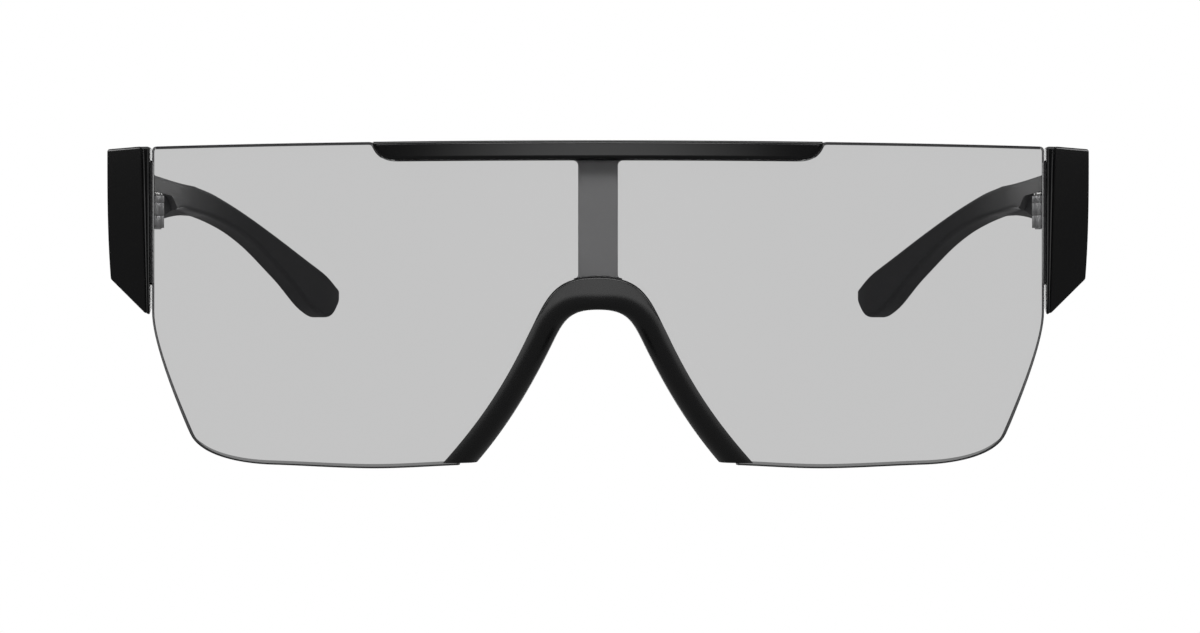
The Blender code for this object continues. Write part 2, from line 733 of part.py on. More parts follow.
def temple_section(place):
    """The temple's cross-section at a share of its length, outer top corner first, with its corner cuts."""
    inner = temple_inner_x - temple_sweep * along(sweep_shares, place)
    thickness = temple_thickness * along(thickness_shares, place)
    outer = inner + thickness
    top = block_top_z - temple_drop * along(drop_shares, place)
    toe_z = slant_z(half_width, split_depth)
    bottom = toe_z + (temple_waist_z - toe_z) * along(rise_shares, place)
    bottom -= temple_tail_drop * along(tail_shares, place)
    shoulder_top = min(top, temple_shoulder_top_z)
    shoulder_low = temple_shoulder_toe_z + temple_shoulder_rise * along(shoulder_shares, place)
    shoulder_bottom = max(bottom, shoulder_low) if place < shoulder_end_share else bottom
    web = inner + thickness * temple_web_share
    step = thickness * temple_step_share
    middle = bottom + (top - bottom) * lean_middle_share
    fade = max(0, 1 - place / lean_end_share)
    corners = [Vector((outer, top)), Vector((outer - lean(middle) * fade, middle)),
               Vector((outer - lean(bottom) * fade, bottom)), Vector((web + step, bottom)),
               Vector((web - step, shoulder_bottom)), Vector((inner, shoulder_bottom)),
               Vector((inner, shoulder_top)), Vector((web - step, shoulder_top)), Vector((web + step, top))]
    inner_corner = temple_corner * temple_inner_corner_share
    return soften(corners, (temple_corner, 0, temple_corner, 0, 0, inner_corner, inner_corner, 0, 0), 4)


def tip_shrink(beyond, length):
    """How much of a section is left so far into a round end of this length."""
    return math.sqrt(max(0, 1 - (max(0, beyond) / length) ** 2))


def make_temple(side, label, stations=24, turns=8):
    round_share = temple_tip_round / temple_length
    places = [(1 - round_share) * step / stations for step in range(stations)]
    places += [1 - round_share + round_share * math.sin(math.pi / 2 * turn / turns) for turn in range(turns)]
    places.append(1 - round_share * tip_end_share)
    rings = []
    for place in places:
        section = temple_section(place)
        middle = sum(section, Vector((0, 0))) / len(section)
        left = temple_length * (1 - place)
        height = tip_shrink(temple_tip_round - left, temple_tip_round)
        width = tip_shrink(temple_tip_edge - left, temple_tip_edge)
        y = front_y + split_depth + temple_length * place
        arms = [point - middle for point in section]
        rings.append([Vector((middle.x + arm.x * width, y, middle.y + arm.y * height)) for arm in arms])
    for point in rings[-1]:
        point.y = front_y + split_depth + temple_length
    black = finish("satin_black_temple_" + label, (0.012, 0.012, 0.012), 0.35)
    temple = add("temple_arm_" + label, loft(rings), black, side, 30)
    cut(temple, "leaf_recess_" + label, leaf_recess(), side)
    for index, place in enumerate(rear_screw_places):
        cut(temple, "rear_screw_hole_" + str(index) + "_" + label, screw_hole(hinge_axis_depth + place), side)
    return temple


def leaf_recess():
    """The open recess in the temple's inner side, whose roof runs down to the temple's waist."""
    low = slant_z(block_inner_x, split_depth)
    high = hinge_top_z + pin_head_height + seat_gap
    recess_end = split_depth + recess_length
    mouth = split_depth - overrun
    roof_end = Vector((recess_end, high))
    waist = Vector((recess_end + recess_run, temple_shoulder_toe_z))
    outline = [Vector((mouth, low)), Vector((mouth, high)), roof_end]
    reach = recess_run / 2
    outline += bezier(roof_end, roof_end + Vector((reach / 2, 0)), waist - Vector((reach, 0)), waist, 6)
    outline.append(Vector((waist.x, low)))
    sides = (hinge_axis_x - overrun, pocket_x)
    return loft([[Vector((x, front_y + point.x, point.y)) for point in outline] for x in sides])


def make_side(side, label):
    make_nose_pad(side, label)
    make_end_block(side, label)
    make_leaf("hinge_front_leaf", front_leaf_length, -1, (1,), (front_screw_place,), side, label)
    make_hinge_pin(side, label)
    make_leaf_screw("front_leaf_screw_" + label, hinge_axis_depth - front_screw_place, side)
    pivot = bpy.data.objects.new("temple_pivot_" + label, None)
    pivot.location = (side * hinge_axis_x, front_y + hinge_axis_depth, hinge_middle_z)
    bpy.context.scene.collection.objects.link(pivot)
    moving = [make_temple(side, label),
              make_leaf("hinge_rear_leaf", rear_leaf_length, 1, (0, 2), rear_screw_places, side, label)]
    for place, part in zip(rear_screw_places, ("near", "far")):
        name = "rear_leaf_screw_" + part + "_" + label
        moving.append(make_leaf_screw(name, hinge_axis_depth + place, side))
    for piece in moving:
        hang(piece, pivot)


def main():
    for old in list(bpy.data.objects):
        bpy.data.objects.remove(old, do_unlink=True)
    make_lens()
    make_brow_bar()
    make_strut()
    make_nose_bridge()
    for side, label in ((-1, "left"), (1, "right")):
        make_side(side, label)


main()
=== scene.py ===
"""The looks of a pair of rimless shield sunglasses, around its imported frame.

Each piece repeats the form of its solid with finer curves, rounded edges and its own finish.
+X is the right-hand side as seen from the front, +Y runs back to the temple tips and +Z is
up. Depths are measured back from the front of the lens at its middle.
"""

import math
import json

import bmesh
import bpy
from mathutils import Matrix, Vector


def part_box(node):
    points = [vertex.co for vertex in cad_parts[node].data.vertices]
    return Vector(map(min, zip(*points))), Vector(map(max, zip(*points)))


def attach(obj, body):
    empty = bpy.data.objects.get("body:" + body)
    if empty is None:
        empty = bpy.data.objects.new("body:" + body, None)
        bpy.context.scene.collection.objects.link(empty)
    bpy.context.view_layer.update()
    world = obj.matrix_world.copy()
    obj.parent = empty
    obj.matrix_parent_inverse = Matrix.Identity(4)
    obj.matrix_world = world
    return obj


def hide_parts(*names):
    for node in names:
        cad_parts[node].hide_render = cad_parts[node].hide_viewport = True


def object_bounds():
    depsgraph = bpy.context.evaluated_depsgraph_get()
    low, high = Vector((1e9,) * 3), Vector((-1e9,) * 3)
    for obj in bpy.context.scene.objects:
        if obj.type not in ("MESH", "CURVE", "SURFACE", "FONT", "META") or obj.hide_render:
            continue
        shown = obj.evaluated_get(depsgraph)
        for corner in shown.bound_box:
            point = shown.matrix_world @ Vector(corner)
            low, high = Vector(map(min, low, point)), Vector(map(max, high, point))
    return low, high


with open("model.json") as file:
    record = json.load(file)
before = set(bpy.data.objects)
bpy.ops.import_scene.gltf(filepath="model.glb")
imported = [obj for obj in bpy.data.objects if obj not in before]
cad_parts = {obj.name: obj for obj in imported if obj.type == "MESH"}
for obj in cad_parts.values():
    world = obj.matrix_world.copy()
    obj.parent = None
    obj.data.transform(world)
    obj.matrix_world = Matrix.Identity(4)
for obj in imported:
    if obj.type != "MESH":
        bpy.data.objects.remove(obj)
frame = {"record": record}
cad_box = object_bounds()

MM = 0.001
both_sides = ((-1, "left"), (1, "right"))
upwards = Vector((0, 0, 1))

# Fits
seat_gap = 0.3 * MM
close_gap = 0.03 * MM
running_gap = 0.06 * MM
knuckle_gap = 0.1 * MM
overrun = 2.0 * MM
plane_tolerance = 0.001 * MM

# Lens
lens_half_width = 68.5 * MM
lens_radius = 137.0 * MM
lens_thickness = 2.0 * MM
lens_top_corner = 0.8 * MM
lens_edge_x = 68.75 * MM
lens_side_foot_drop = 4.5 * MM
lens_side_bulge = 5.0 * MM
lens_turn_reach = 3.4 * MM
lens_corner_width = 6.0 * MM
lens_corner_z = 4.8 * MM
lens_corner_reach = 4.0 * MM
lens_corner_end_width = 19.0 * MM
lens_corner_end_z = 0.35 * MM
lens_lowest_x = 34.5 * MM
lens_foot_x = 21.0 * MM
lens_foot_z = 0.6 * MM
lens_slice = 1.25 * MM
tab_length = 2.4 * MM
tab_top_drop = 2.4 * MM
tab_height = 18.6 * MM
tab_step = 0.1 * MM
tab_overlap = 0.05 * MM
polish_width = 0.42 * MM
polish_top_z = 6.0 * MM
polish_full_z = 3.0 * MM
edge_width = 0.08 * MM
top_edge_width = 0.38 * MM
notch_edge_width = 0.12 * MM
rim_width = 0.08 * MM
low_rim_width = 0.26 * MM
square_start_x = 45.0 * MM

# Brow bar
bar_half_length = 33.62 * MM
bar_height = 2.8 * MM
bar_corner = 3.5 * MM
bar_foot_handle = 2.1 * MM
bar_end_handle = 1.25 * MM
bar_end_lean = 0.45 * MM
bar_end_drop = 0.5 * MM
bar_proud = 0.8 * MM
bar_depth = 5.2 * MM
bar_bevel = 0.6 * MM
notch_flare = 0.7 * MM
notch_gap = 0.12 * MM

# Centre strut
strut_half_width = 3.02 * MM
strut_thickness = 1.7 * MM
strut_flare = 0.8 * MM
strut_bevel = 0.2 * MM

# Nose bridge
bridge_crown_z = 28.72 * MM
bridge_shoulder_x = 11.3 * MM
bridge_shoulder_z = 18.0 * MM
bridge_foot_x = 22.95 * MM
bridge_foot_z = 0.95 * MM
arch_crown_z = 23.8 * MM
arch_shoulder_x = 6.82 * MM
arch_shoulder_z = 19.15 * MM
arch_foot_x = 18.7 * MM
bridge_leg_lean = 26.5
bridge_foot_lean = 41.5
bridge_crown_handle = 7.3 * MM
bridge_shoulder_handle = 7.8 * MM
bridge_leg_handle = 7.45 * MM
arch_crown_handle = 4.0 * MM
arch_shoulder_handle = 3.8 * MM
bridge_proud = 1.0 * MM
bridge_depth = 6.2 * MM
bridge_bevel = 0.4 * MM
bridge_roll = 1.3 * MM
groove_depth = 1.3 * MM

# Nose pads
pad_width = 3.3 * MM
pad_reach = 7.0 * MM
pad_round = 1.6 * MM
pad_splay = 0.1 * MM
pad_peg_radius = 0.7 * MM
pad_peg_length = 1.8 * MM

# End blocks
block_gap = 0.4 * MM
block_edge_step = 0.12 * MM
block_top_drop = 0.03 * MM
block_height = 26.0 * MM
block_length = 9.6 * MM
block_corner_setback = 2.0 * MM
block_ledge_width = 1.2 * MM
block_ledge_toe_width = 0.5 * MM
block_ledge_cover = 0.7 * MM
block_ledge_step = 0.8 * MM
block_ledge_slant = 0.4 * MM
block_inner_lean = 1.0 * MM
block_toe_slope_back = 16.0
block_toe_slope_out = 24.5
side_lean = 1.2 * MM
block_bevel = 0.39 * MM

# Hinges
hinge_axis_step = 0.25 * MM
hinge_axis_setback = 1.0 * MM
hinge_middle_drop = 9.8 * MM
knuckle_radius = 1.2 * MM
knuckle_heights = (1.9 * MM, 1.9 * MM, 1.0 * MM)
leaf_thickness = 0.8 * MM
leaf_corner = 1.3 * MM
leaf_edge = 0.18 * MM
front_leaf_length = 4.2 * MM
rear_leaf_length = 10.0 * MM
swing_gap = 0.15 * MM
pin_radius = 0.5 * MM
pin_head_radius = 0.95 * MM
pin_head_height = 0.55 * MM
screw_radius = 0.4 * MM
screw_head_radius = 0.75 * MM
screw_head_height = 0.35 * MM
screw_length = 2.6 * MM
slot_width = 0.24 * MM
front_screw_place = 2.9 * MM
rear_screw_places = (4.0 * MM, 7.8 * MM)

# Temples
temple_inner_step = 0.7 * MM
temple_sweep = 20.4 * MM
temple_drop = 22.4 * MM
temple_waist_drop = 8.7 * MM
temple_tail_drop = 18.0 * MM
temple_shoulder_drop = 3.8 * MM
temple_shoulder_height = 6.6 * MM
temple_shoulder_rise = 2.3 * MM
temple_corner = 1.3 * MM
temple_tip_round = 12.0 * MM
temple_tip_edge = 3.0 * MM
recess_length = 21.0 * MM
recess_run = 22.0 * MM

# Shares
corner_limit_share = 0.48
polish_slope_share = 0.6
notch_pull_share = 0.2
ledge_fade_share = 0.7
crown_flat_share = 0.49
crown_fall_share = 0.27
leg_fall_share = 0.75
pad_top_share = 0.62
pad_bottom_share = 0.93
pad_step_share = 0.01
pad_end_share = 0.9
pad_face_inset_share = 0.4
head_edge_share = 0.45
head_tip_share = 0.12
slot_depth_share = 0.45

# Shares of the temple's length, with the share reached there of the size that each table names
sweep_shares = (
    (0, 0), (0.24, 0), (0.355, 0.028), (0.506, 0.12), (0.636, 0.267),
    (0.757, 0.47), (0.863, 0.7), (0.94, 0.875), (1, 0.96))
thickness_shares = (
    (0, 1), (0.127, 0.97), (0.24, 0.79), (0.355, 0.63), (0.506, 0.52), (0.757, 0.48), (1, 0.45))
drop_shares = (
    (0, 0), (0.09, 0.02), (0.2, 0.097), (0.3, 0.15), (0.39, 0.172), (0.506, 0.213),
    (0.636, 0.323), (0.757, 0.488), (0.863, 0.68), (0.94, 0.825), (1, 0.915))
rise_shares = ((0, 0), (0.127, 0.52), (0.24, 0.82), (0.332, 0.95), (0.423, 1), (1, 1))
tail_shares = (
    (0, 0), (0.423, 0), (0.47, 0.002), (0.567, 0.068), (0.645, 0.164), (0.72, 0.32),
    (0.81, 0.597), (0.894, 0.915), (0.95, 0.985), (1, 0.8))
shoulder_end_share = 0.47
shoulder_shares = (
    (0, 0), (0.127, 0.2), (0.25, 0.9), (0.3, 1), (0.38, 0.89), (shoulder_end_share, 0.75), (1, 0))
temple_web_share = 0.64
temple_step_share = 0.08
temple_inner_corner_share = 0.7
lean_middle_share = 0.45
lean_end_share = 0.35
tip_end_share = 0.003

# Worked out from the frame and from the sizes above
overall_depth = cad_box[1].y - cad_box[0].y
lens_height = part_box("shield_lens")[1].z
front_y = cad_box[0].y + bridge_proud
lens_side_depth = lens_radius - math.sqrt(lens_radius ** 2 - lens_half_width ** 2)
tab_top_z = lens_height - tab_top_drop
tab_bottom_z = tab_top_z - tab_height
lens_side_foot_z = tab_bottom_z - lens_side_foot_drop
lens_corner_x = lens_half_width - lens_corner_width
lens_corner_end_x = lens_half_width - lens_corner_end_width
block_inner_x = lens_half_width + block_gap
block_edge_x = block_inner_x + block_edge_step
half_width = cad_box[1].x
block_top_z = lens_height - block_top_drop
block_toe_z = block_top_z - block_height
block_split_depth = lens_side_depth + block_length
hinge_axis_x = block_inner_x + hinge_axis_step
hinge_axis_depth = block_split_depth - hinge_axis_setback
hinge_middle_z = block_top_z - hinge_middle_drop
temple_inner_x = block_inner_x + temple_inner_step
temple_waist_z = block_top_z - temple_waist_drop
temple_shoulder_top_z = block_top_z - temple_shoulder_drop
temple_shoulder_toe_z = temple_shoulder_top_z - temple_shoulder_height
split_depth = block_split_depth + seat_gap
temple_length = overall_depth - bridge_proud - split_depth
hinge_height = sum(knuckle_heights) + 2 * knuckle_gap
hinge_bottom_z = hinge_middle_z - hinge_height / 2
hinge_top_z = hinge_bottom_z + hinge_height
leaf_outer_x = hinge_axis_x + knuckle_radius
leaf_inner_x = leaf_outer_x - leaf_thickness
pocket_x = leaf_outer_x + seat_gap
temple_thickness = half_width - temple_inner_x
bar_bottom_z = lens_height - bar_height
bar_end_pull = Vector((bar_end_lean, bar_end_handle))

# How fine the curves are, and from which angle in degrees an edge is rounded
curve_steps = 20
turn_steps = 8
lens_corner_steps = 6
leaf_corner_steps = 10
turn_sides = 40
edge_segments = 4
leaf_edge_segments = 2
sharp_angle = 38.0
parallel_cosine = 0.99


# Shapes in two dimensions

def bezier(start, start_pull, end_pull, end, steps=curve_steps):
    """Points along a cubic curve, leaving out its start. It leaves and arrives along its two pulls."""
    handles = (start, start + start_pull, end - end_pull, end)
    points = []
    for step in range(1, steps + 1):
        t = step / steps
        weights = ((1 - t) ** 3, 3 * t * (1 - t) ** 2, 3 * t * t * (1 - t), t ** 3)
        points.append(sum([weight * point for weight, point in zip(weights, handles)], Vector((0, 0))))
    return points


def quarter_arc(steps):
    """Points of a quarter circle of radius 1, as distances from the corner of the square round it."""
    turns = [math.pi / 2 * step / steps for step in range(steps + 1)]
    return [(1 - math.cos(turn), 1 - math.sin(turn)) for turn in turns]


def rectangle(first, last, low, high):
    """The corners of a rectangle, with its low side first."""
    return [Vector(corner) for corner in ((first, low), (last, low), (last, high), (first, high))]


def heading(degrees):
    """The direction that leans out by so many degrees from straight down."""
    return Vector((math.sin(math.radians(degrees)), -math.cos(math.radians(degrees))))


def soften(corners, cuts, steps):
    """An outline whose corners are rounded from a cut's length before each to a cut's length after."""
    outline = []
    for index, (corner, cut_length) in enumerate(zip(corners, cuts)):
        if not cut_length:
            outline.append(corner)
            continue
        before = corners[index - 1] - corner
        after = corners[(index + 1) % len(corners)] - corner
        length = min(cut_length, before.length * corner_limit_share, after.length * corner_limit_share)
        first = corner + before.normalized() * length
        last = corner + after.normalized() * length
        for step in range(steps + 1):
            t = step / steps
            outline.append(first * (1 - t) ** 2 + corner * 2 * t * (1 - t) + last * t * t)
    return outline


def along(shares, place):
    """The value at a place in a table, on a smooth curve through the table's points."""
    for index in range(len(shares) - 1):
        if place <= shares[index + 1][0]:
            break
    (x0, y0), (x1, y1) = shares[index], shares[index + 1]
    before = shares[index - 1] if index else shares[0]
    after = shares[min(index + 2, len(shares) - 1)]
    slope0 = (y1 - before[1]) / (x1 - before[0])
    slope1 = (after[1] - y0) / (after[0] - x0)
    t = (place - x0) / (x1 - x0)
    rise = (y1 - y0) * t * t * (3 - 2 * t)
    return y0 + rise + (x1 - x0) * t * (1 - t) * ((1 - t) * slope0 - t * slope1)


def half_arch(crown, crown_handle, shoulder, shoulder_handle, foot):
    """One side of an arch: a round crown, then a leg that flares out towards its foot."""
    leg_way = heading(bridge_leg_lean)
    points = [crown] + bezier(crown, Vector((crown_handle, 0)), leg_way * shoulder_handle, shoulder)
    foot_pull = heading(bridge_foot_lean) * bridge_leg_handle
    return points + bezier(shoulder, leg_way * bridge_leg_handle, foot_pull, foot)


def bridge_edge():
    """The upper, outer edge of the nose bridge on the right-hand side."""
    return half_arch(Vector((0, bridge_crown_z)), bridge_crown_handle,
                     Vector((bridge_shoulder_x, bridge_shoulder_z)), bridge_shoulder_handle,
                     Vector((bridge_foot_x, bridge_foot_z)))


def arch_edge():
    """The lower, inner edge of the nose bridge, which the nose meets."""
    return half_arch(Vector((0, arch_crown_z)), arch_crown_handle,
                     Vector((arch_shoulder_x, arch_shoulder_z)), arch_shoulder_handle,
                     Vector((arch_foot_x, bridge_foot_z)))


def mirrored(half):
    """A whole outline from its right-hand half, which starts and ends on the middle line."""
    return half + [Vector((-point.x, point.y)) for point in reversed(half) if point.x > 0]


def bar_end(gap, end_gap):
    """The rounded end of the brow bar, or at gaps from it the lens's notch, from the middle outwards."""
    foot = Vector((bar_half_length - bar_corner + end_gap / 2, bar_bottom_z - gap))
    end = Vector((bar_half_length + end_gap, lens_height - bar_end_drop))
    return [Vector((0, foot.y)), foot] + bezier(foot, Vector((bar_foot_handle, 0)), bar_end_pull, end)


def lens_outline():
    """The lens's outline as seen from the front, without its side tabs."""
    half = bar_end(close_gap, notch_gap)
    flare = Vector((bar_half_length + notch_gap + notch_flare, lens_height))
    half += bezier(half[-1], bar_end_pull * notch_pull_share, Vector((notch_flare / 2, 0)), flare, turn_steps)
    corner = Vector((lens_edge_x, lens_height))
    edge = [corner - Vector((lens_edge_x, 0)), corner, Vector((lens_edge_x, 0))]
    half += soften(edge, (0, lens_top_corner, 0), lens_corner_steps)[1:-1]
    side = Vector((lens_edge_x, lens_side_foot_z))
    turn = Vector((lens_corner_x, lens_corner_z))
    turn_lean = (turn - Vector((lens_edge_x, lens_side_foot_z - lens_side_bulge))).normalized()
    half.append(side)
    half += bezier(side, Vector((0, -lens_side_bulge)), turn_lean * lens_turn_reach, turn)
    end = Vector((lens_corner_end_x, lens_corner_end_z))
    end_lean = Vector((lens_lowest_x - lens_corner_x, -lens_corner_end_z)).normalized()
    half += bezier(turn, turn_lean * lens_corner_reach, end_lean * lens_corner_reach, end)
    lowest = Vector((lens_lowest_x, 0))
    reach = (lens_corner_end_x - lens_lowest_x) / 3
    half += bezier(end, end_lean * reach, Vector((-reach, 0)), lowest)
    foot = Vector((lens_foot_x, lens_foot_z))
    reach = (lens_lowest_x - lens_foot_x) / 3
    half += bezier(lowest, Vector((-reach, 0)), Vector((-reach, lens_foot_z / 3)), foot)
    nose = [point + (far - point).normalized() * groove_depth
            for point, far in zip(bridge_edge(), arch_edge())]
    half += [point for point in reversed(nose) if point.y > lens_foot_z + groove_depth]
    return mirrored(half)


# Shapes in three dimensions

def wrap(x, z, offset):
    """The point so far behind the lens's front surface, along its radius."""
    radius = lens_radius - offset
    angle = math.asin(x / lens_radius)
    return Vector((radius * math.sin(angle), front_y + lens_radius - radius * math.cos(angle), z))


def bend(bm, slice_width):
    """Bends a flat solid of x, depth and height round the lens's cylinder, in narrow slices."""
    count = int(max(abs(vert.co.x) for vert in bm.verts) / slice_width)
    for index in range(-count, count + 1):
        bmesh.ops.bisect_plane(bm, geom=bm.verts[:] + bm.edges[:] + bm.faces[:], dist=plane_tolerance,
                               plane_co=(index * slice_width, 0, 0), plane_no=(1, 0, 0))
    for vert in bm.verts:
        vert.co = wrap(vert.co.x, vert.co.z, vert.co.y)
    return bm


def loft(rings):
    """A closed solid through rings of points, all with the same count."""
    bm = bmesh.new()
    add_loft(bm, rings)
    return bm


def add_loft(bm, rings):
    """Adds a closed solid through rings of points and gives back its faces."""
    rows = [[bm.verts.new(point) for point in ring] for ring in rings]
    count = len(rings[0])
    faces = []
    for row, after in zip(rows, rows[1:]):
        for index in range(count):
            turn = (index + 1) % count
            faces.append(bm.faces.new((row[index], row[turn], after[turn], after[index])))
    return faces + [bm.faces.new(rows[0]), bm.faces.new(rows[-1])]


def round_edges(bm, width, kept=None):
    """Rounds a solid's sharp edges, but not those that run along the kept direction."""
    bmesh.ops.recalc_face_normals(bm, faces=bm.faces[:])
    sharp = []
    for edge in bm.edges:
        run = (edge.verts[1].co - edge.verts[0].co).normalized()
        runs_along = kept and abs(run.dot(kept)) > parallel_cosine
        if edge.calc_face_angle(0) > math.radians(sharp_angle) and not runs_along:
            sharp.append(edge)
    bmesh.ops.bevel(bm, geom=sharp, offset=width, segments=edge_segments, profile=0.5, affect="EDGES",
                    clamp_overlap=False)
    return bm


def plate(outline, front, back, edge=0):
    """A flat outline given a thickness and rounded edges, and bent round the lens's cylinder."""
    bm = loft([[Vector((point.x, depth, point.y)) for point in outline] for depth in (front, back)])
    if edge:
        round_edges(bm, edge, Vector((0, 1, 0)))
    return bend(bm, lens_slice)


def prism(outline, bottom_z, top_z):
    """A plan outline of x and depth, raised from one height to another."""
    return loft([[Vector((point.x, front_y + point.y, z)) for point in outline] for z in (bottom_z, top_z)])


def across(outline, near_x, far_x):
    """An outline of depth and height, run from one side to another."""
    return loft([[Vector((x, front_y + point.x, point.y)) for point in outline] for x in (near_x, far_x)])


def box(x_range, depth_range, z_range):
    """A block between pairs of sides, depths and heights."""
    return prism(rectangle(*x_range, *depth_range), *z_range)


def turned(profile, centre, direction):
    """A solid turned about a line: the profile holds distances along it and radii."""
    arm = direction.orthogonal().normalized()
    arms = [Matrix.Rotation(math.tau * side / turn_sides, 3, direction) @ arm for side in range(turn_sides)]
    return loft([[centre + direction * distance + arm * radius for arm in arms]
                 for distance, radius in profile])


def shape(name, bm, side=1):
    """An object made of a solid, mirrored to the left-hand side where side is -1."""
    if side < 0:
        bm.transform(Matrix.Scale(-1, 4, (1, 0, 0)))
    bm.normal_update()
    bmesh.ops.recalc_face_normals(bm, faces=bm.faces[:])
    # The line above turns the brow bar inside out, which a negative volume shows.
    if bm.calc_volume(signed=True) < 0:
        bmesh.ops.reverse_faces(bm, faces=bm.faces[:])
    mesh = bpy.data.meshes.new(name)
    bm.to_mesh(mesh)
    bm.free()
    piece = bpy.data.objects.new(name, mesh)
    bpy.context.scene.collection.objects.link(piece)
    return piece


def bevel(piece, width, segments):
    """Rounds a piece's sharp edges after its booleans."""
    modifier = piece.modifiers.new("edges", "BEVEL")
    modifier.width = width
    modifier.segments = segments
    modifier.limit_method = "ANGLE"
    modifier.angle_limit = math.radians(sharp_angle)


def boolean(piece, bm, side, operation="DIFFERENCE"):
    """Cuts a shape out of a piece, keeps what lies in it, or joins it on."""
    modifier = piece.modifiers.new("shape", "BOOLEAN")
    modifier.operation = operation
    modifier.solver = "EXACT"
    modifier.object = shape(piece.name + "_tool", bm, side)


def dress(piece, node, *materials, smooth_angle=32.0):
    """Fixes a piece's form, smooths it, and lets it stand for its node."""
    bpy.context.view_layer.update()
    graph = bpy.context.evaluated_depsgraph_get()
    mesh = bpy.data.meshes.new_from_object(piece.evaluated_get(graph))
    tools = [modifier.object for modifier in piece.modifiers if modifier.type == "BOOLEAN"]
    piece.modifiers.clear()
    piece.data = mesh
    for tool in tools:
        bpy.data.objects.remove(tool, do_unlink=True)
    mesh.shade_smooth()
    mesh.set_sharp_from_angle(angle=math.radians(smooth_angle))
    for material in materials:
        mesh.materials.append(material)
    normals = piece.modifiers.new("normals", "WEIGHTED_NORMAL")
    normals.keep_sharp = True
    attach(piece, body_of[node])
    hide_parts(node)


body_of = {node: body for body, nodes in frame["record"]["behaviour"]["bodies"].items() for node in nodes}


# Materials

broad_grain = 9.0 * MM
noise_range = (0.3, 0.7)
wiped_range = (0.7, 1.5)
relief_strength = 0.6


def node_adder(tree):
    """A function that adds nodes to a tree, with values or links at their inputs."""
    def add_node(kind, inputs=None, **settings):
        node = tree.nodes.new(kind)
        for key, value in settings.items():
            setattr(node, key, value)
        for key, value in (inputs or {}).items():
            if isinstance(value, bpy.types.NodeSocket):
                tree.links.new(value, node.inputs[key])
            else:
                node.inputs[key].default_value = value
        return node

    return add_node


def new_material(name):
    """A material with its shader, a function that adds nodes to it, and its links."""
    material = bpy.data.materials.new(name)
    material.use_nodes = True
    tree = material.node_tree
    return material, tree.nodes["Principled BSDF"], node_adder(tree), tree.links


def grainy(name, colour, roughness, grain, depth, spread=0.06, stretch=(1, 1, 1), specular=0.3, metallic=0.0):
    """A moulded or brushed surface: fine grain in its relief, and broad variation in colour and gloss."""
    material, shader, add_node, links = new_material(name)
    place = add_node("ShaderNodeTexCoord").outputs["Object"]
    fine_place = add_node("ShaderNodeMapping", {"Vector": place, "Scale": stretch}).outputs["Vector"]
    fine = add_node("ShaderNodeTexNoise", {"Vector": fine_place, "Scale": 1 / grain, "Detail": 3.0})
    broad = add_node("ShaderNodeTexNoise", {"Vector": place, "Scale": 1 / broad_grain, "Detail": 2.0})
    tone = add_node("ShaderNodeValToRGB", {"Fac": broad.outputs["Fac"]})
    for stop, shade in zip(tone.color_ramp.elements, (1 - spread, 1 + spread)):
        stop.color = (*[min(1, channel * shade) for channel in colour], 1)
    links.new(tone.outputs["Color"], shader.inputs["Base Color"])
    gloss = add_node("ShaderNodeMapRange", {
        "Value": fine.outputs["Fac"], "From Min": noise_range[0], "From Max": noise_range[1],
        "To Min": roughness * (1 - spread), "To Max": roughness * (1 + spread)})
    links.new(gloss.outputs["Result"], shader.inputs["Roughness"])
    relief = add_node("ShaderNodeBump", {
        "Height": fine.outputs["Fac"], "Distance": depth, "Strength": relief_strength})
    links.new(relief.outputs["Normal"], shader.inputs["Normal"])
    shader.inputs["Specular IOR Level"].default_value = specular
    shader.inputs["Metallic"].default_value = metallic
    return material


def clear(name, colour, alpha, roughness, specular):
    """A see-through surface with faint wiping marks in its gloss."""
    material, shader, add_node, links = new_material(name)
    place = add_node("ShaderNodeTexCoord").outputs["Object"]
    marks = add_node("ShaderNodeTexNoise", {"Vector": place, "Scale": 1 / broad_grain, "Detail": 4.0})
    gloss = add_node("ShaderNodeMapRange", {
        "Value": marks.outputs["Fac"],
        "To Min": roughness * wiped_range[0], "To Max": roughness * wiped_range[1]})
    links.new(gloss.outputs["Result"], shader.inputs["Roughness"])
    shader.inputs["Base Color"].default_value = (*colour, 1)
    shader.inputs["Alpha"].default_value = alpha
    shader.inputs["Specular IOR Level"].default_value = specular
    return material


smoke = clear("smoke_lens", (0.03, 0.03, 0.032), 0.266, 0.045, 0.05)
polished_edge = clear("polished_lens_edge", (0.06, 0.06, 0.062), 0.78, 0.1, 0.5)
# Painted shade: the near-black lens walls and top slope stand in for the darkness that refraction and the
# brow bar's shadow give the lens's edges.
lens_edge_shade = clear("lens_edge_painted_shade", (0.012, 0.012, 0.013), 0.96, 0.2, 0.3)
gloss_black = grainy("gloss_black", (0.0035, 0.0035, 0.0037), 0.2, 0.35 * MM, 0.0006 * MM)
block_black = grainy("block_black", (0.003, 0.003, 0.0032), 0.22, 0.35 * MM, 0.0005 * MM)
satin_black = grainy("satin_black", (0.003, 0.003, 0.0032), 0.27, 0.22 * MM, 0.001 * MM, specular=0.38)
temple_black = grainy("temple_black", (0.005, 0.005, 0.0053), 0.36, 0.25 * MM, 0.0008 * MM)
# Painted shade for the temple's recess: darker and with weaker gloss than the temple, and rougher.
recess_painted_shade = grainy("recess_painted_shade", (0.004, 0.004, 0.0042), 0.6, 0.2 * MM, 0.003 * MM, specular=0.12)
strut_grey = grainy("strut_grey", (0.4, 0.4, 0.404), 0.42, 0.3 * MM, 0.001 * MM, spread=0.03)
soft_black = grainy("soft_black", (0.02, 0.02, 0.021), 0.7, 0.15 * MM, 0.006 * MM)
hinge_metal = grainy("hinge_metal", (0.72, 0.72, 0.73), 0.5, 0.12 * MM, 0.0006 * MM,
                     spread=0.08, stretch=(1, 0.08, 1), metallic=1.0)
screw_steel = grainy("screw_steel", (0.75, 0.75, 0.74), 0.25, 0.1 * MM, 0.0004 * MM,
                     spread=0.08, metallic=1.0)


# The front

